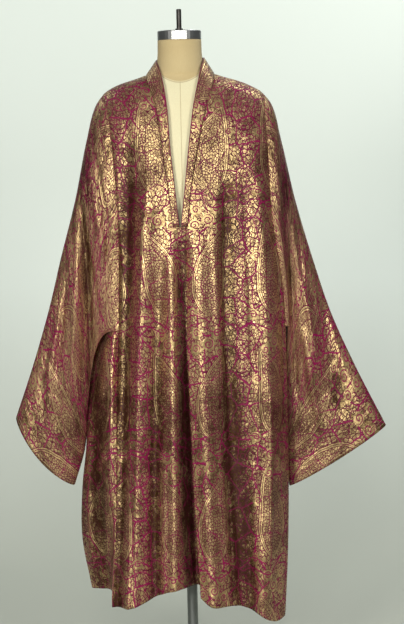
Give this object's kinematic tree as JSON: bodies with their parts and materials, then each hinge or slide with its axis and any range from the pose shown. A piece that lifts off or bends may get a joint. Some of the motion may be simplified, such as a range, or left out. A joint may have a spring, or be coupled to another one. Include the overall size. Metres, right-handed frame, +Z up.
{
  "type": "choga robe on a limbless dress form",
  "caption": "Loose open-fronted brocade robe with wide flared sleeves, side gores and a crossed hem, worn on a limbless linen dress form with a round floor base.",
  "frame": {"origin": "middle of the round base's underside, on the floor", "axes": "+Z up along the pole, -Y out of the robe's front, +X towards the viewer's right"},
  "size_m": [0.8911, 0.43, 1.602],
  "materials": {
    "brocade": "satin silk with a gold and crimson woven paisley",
    "linen": "matte woven linen",
    "cap_metal": "satin turned aluminium",
    "rod_metal": "darkened steel",
    "pole_metal": "satin steel tube",
    "base_paint": "semi-matt dark enamel"
  },
  "bodies": {
    "root": {"back": "brocade", "front_left": "brocade", "front_right": "brocade", "side_gore_left": "brocade", "side_gore_right": "brocade", "sleeve_left": "brocade", "sleeve_right": "brocade", "neckband": "brocade", "form_bust": "linen", "neck_cap": "cap_metal", "finial_rod": "rod_metal", "stand_pole": "pole_metal", "stand_base": "base_paint"}
  },
  "joints": []
}
